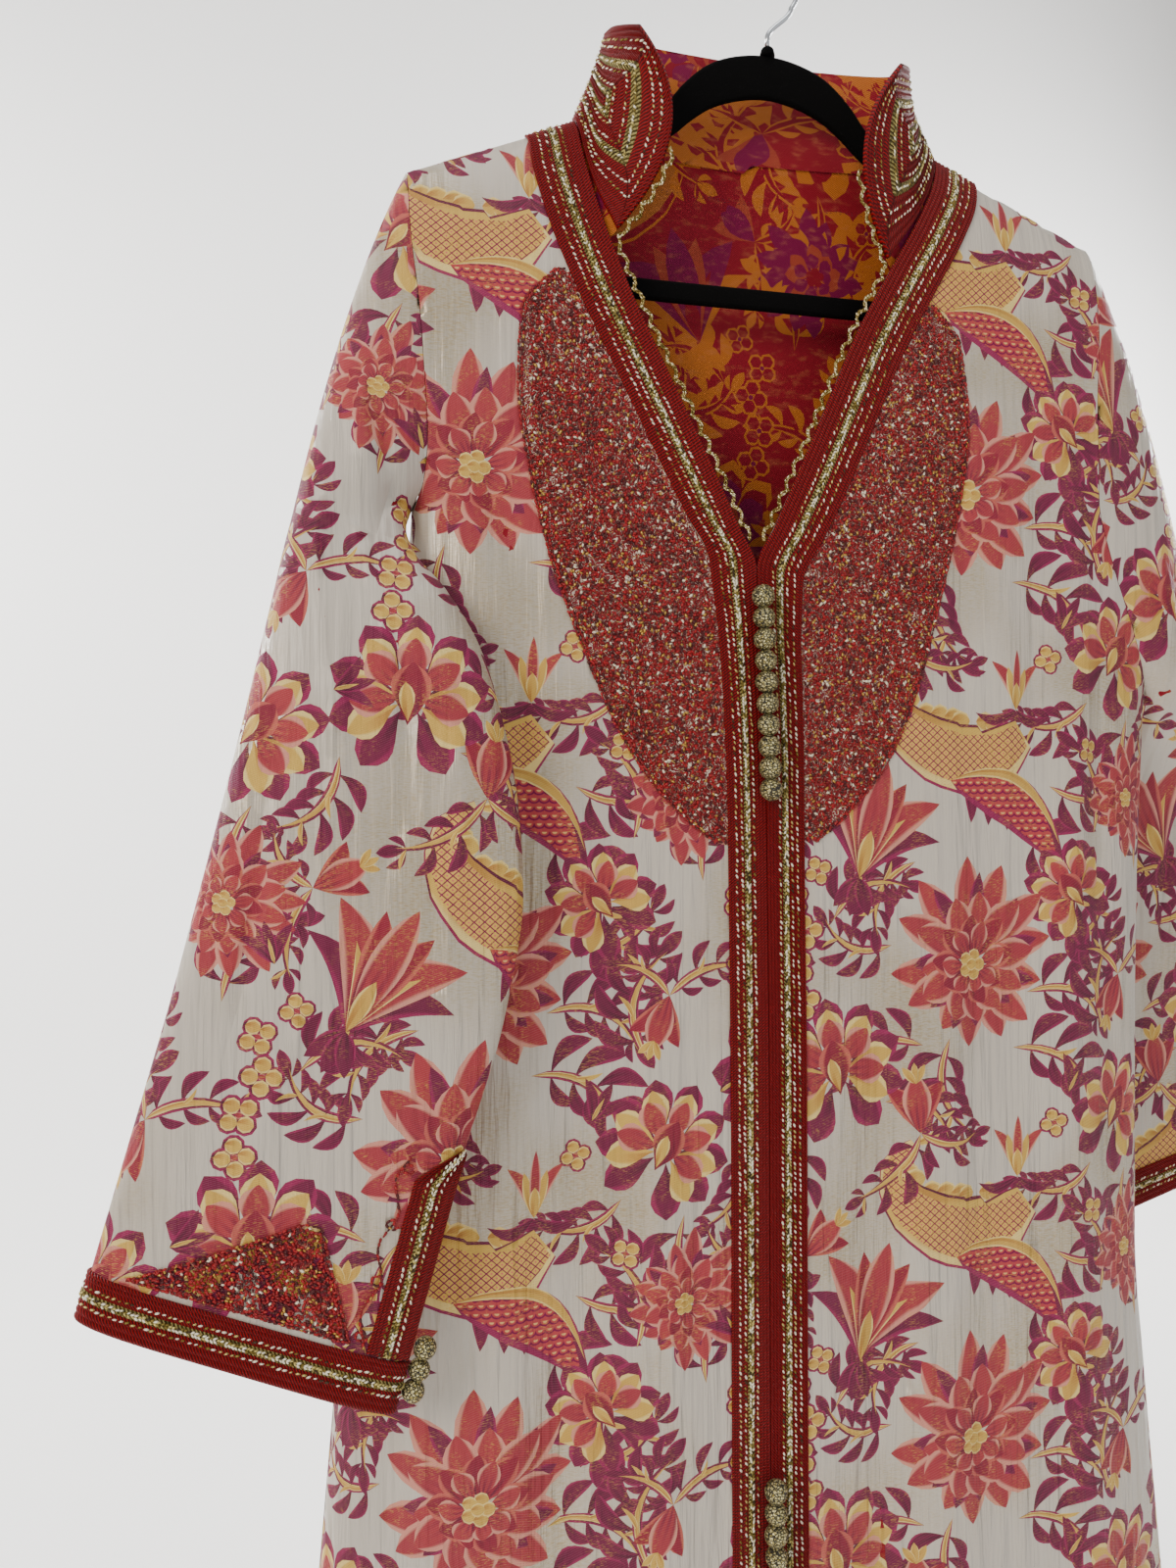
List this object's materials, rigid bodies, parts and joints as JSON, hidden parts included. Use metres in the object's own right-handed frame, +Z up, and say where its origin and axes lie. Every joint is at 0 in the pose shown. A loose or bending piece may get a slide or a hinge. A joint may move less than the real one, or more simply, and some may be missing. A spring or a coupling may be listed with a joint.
{
  "type": "moroccan kaftan",
  "caption": "Ankle-length open-front kaftan of flowered brocade with braid bands, an embroidered breastplate, ball buttons and wide sleeves, on a slim hanger.",
  "frame": {"origin": "inside top of the hanger's hook, where a rail holds it", "axes": "+Z up, -Y out of the garment's front, +X to the viewer's right, so the wearer's right half is at negative X"},
  "size_m": [0.8197, 0.1457, 1.5334],
  "materials": {
    "brocade": "ivory brocade with a gold metal-thread sheen and woven flowers",
    "braid": "red silk braid rows with ivory dashes and gold lines",
    "embroidery": "dense red chain stitch with gold specks",
    "gold_thread": "gold metal thread, worked as knots and cord",
    "velvet": "black flocked velvet over plastic",
    "steel": "bright wire"
  },
  "bodies": {
    "root": {"back": "brocade", "front_right": "brocade", "front_left": "brocade", "sleeve_right": "brocade", "sleeve_left": "brocade", "collar": "braid", "back_neck_band": "braid", "front_band_right": "braid", "front_band_left": "braid", "cuff_band_right": "braid", "cuff_band_left": "braid", "slit_band_right": "braid", "slit_band_left": "braid", "plastron_right": "embroidery", "plastron_left": "embroidery", "medallion_right": "embroidery", "medallion_left": "embroidery", "picot_right": "gold_thread", "picot_left": "gold_thread", "chest_buttons": "gold_thread", "lower_buttons": "gold_thread", "cuff_buttons_right": "gold_thread", "cuff_buttons_left": "gold_thread", "hanger": "velvet", "hook_socket": "velvet", "hook": "steel"}
  },
  "joints": []
}
